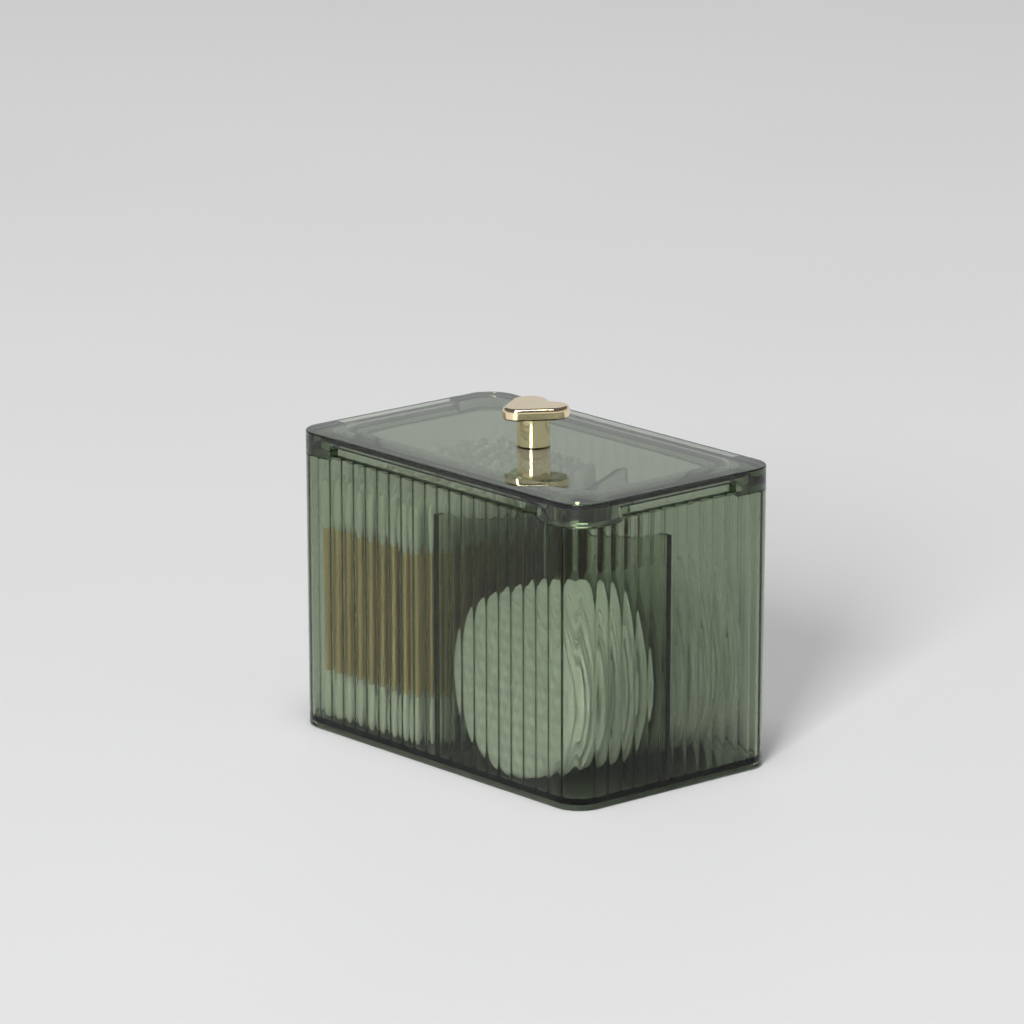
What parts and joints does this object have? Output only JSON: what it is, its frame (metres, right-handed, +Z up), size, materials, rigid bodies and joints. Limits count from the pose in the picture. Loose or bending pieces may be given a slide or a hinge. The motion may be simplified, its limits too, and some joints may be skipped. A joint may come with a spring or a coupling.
{
  "type": "cotton pad and swab holder with lid",
  "caption": "Tinted clear tray with a fluted inner wall, upright dividers and a lift-off lid with a gold heart knob, holding cotton pads and swabs.",
  "frame": {"origin": "middle of the foot's underside, at the height the box stands on", "axes": "+X along the long side towards the pads, +Y to the back, +Z up"},
  "size_m": [0.13, 0.08, 0.1058],
  "materials": {
    "tray_plastic": "transparent grey-green moulded plastic, gloss",
    "lid_plastic": "transparent grey-green moulded plastic, gloss",
    "divider_plastic": "transparent grey-green sheet plastic, polished edges",
    "knob_gold": "polished gold plating",
    "fixing_steel": "plain plated steel",
    "swab_cotton": "wound cotton, matte",
    "swab_stick": "plain bamboo, matte",
    "pad_cotton": "embossed cotton, matte"
  },
  "bodies": {
    "box": {"box_shell": "tray_plastic", "cross_divider": "divider_plastic", "long_divider": "divider_plastic", "swab_tips_lower": "swab_cotton", "swab_sticks": "swab_stick", "swab_tips_upper": "swab_cotton", "pads_front": "pad_cotton", "pads_back": "pad_cotton"},
    "lid": {"lid": "lid_plastic", "knob_heart": "knob_gold", "knob_stem": "knob_gold", "knob_washer": "fixing_steel", "knob_screw": "fixing_steel"}
  },
  "joints": [
    {"name": "lid_lift", "type": "slide", "parent": "box", "child": "lid", "axis": [0, 0, 1], "range_m": [0, 0.08]}
  ]
}
